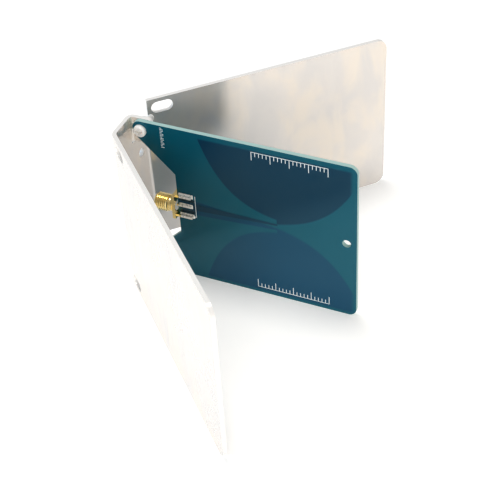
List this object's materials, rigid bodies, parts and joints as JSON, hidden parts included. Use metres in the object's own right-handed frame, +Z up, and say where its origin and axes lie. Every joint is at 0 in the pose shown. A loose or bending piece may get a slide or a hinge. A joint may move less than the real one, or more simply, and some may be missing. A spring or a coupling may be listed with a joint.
{
  "type": "horn antenna",
  "caption": "Small two-panel horn antenna: a folded aluminium sheet opens round a printed board with flared copper fins, fed by an edge-mounted coaxial jack.",
  "frame": {"origin": "centre of the footprint, on the surface that the antenna stands on", "axes": "+X from the back wall to the open mouth of the horn, +Z up, the circuit board in the XZ plane"},
  "size_m": [0.0848, 0.1552, 0.066],
  "materials": {
    "sheet": "satin clear-anodised sheet with a faint rolling grain and bright cut edges",
    "laminate": "glass-epoxy laminate under blue-green solder mask, pale green at its cut edges",
    "masked_copper": "copper foil under blue solder mask, darker than the bare laminate round it",
    "gilded_brass": "bright gold plating over turned brass",
    "ptfe": "white turned insulator",
    "solder": "smooth grey solder",
    "nylon": "off-white moulded nylon"
  },
  "bodies": {
    "root": {"horn_sheet": "sheet", "circuit_board": "laminate", "feed_fin": "masked_copper", "ground_fin": "masked_copper", "leg_pads": "masked_copper", "jack_shell": "gilded_brass", "jack_contact": "gilded_brass", "jack_insulator": "ptfe", "pin_solder": "solder", "front_upper_solder": "solder", "front_lower_solder": "solder", "back_upper_solder": "solder", "back_lower_solder": "solder", "upper_screw": "nylon", "lower_screw": "nylon", "upper_nut": "nylon", "lower_nut": "nylon"}
  },
  "joints": []
}
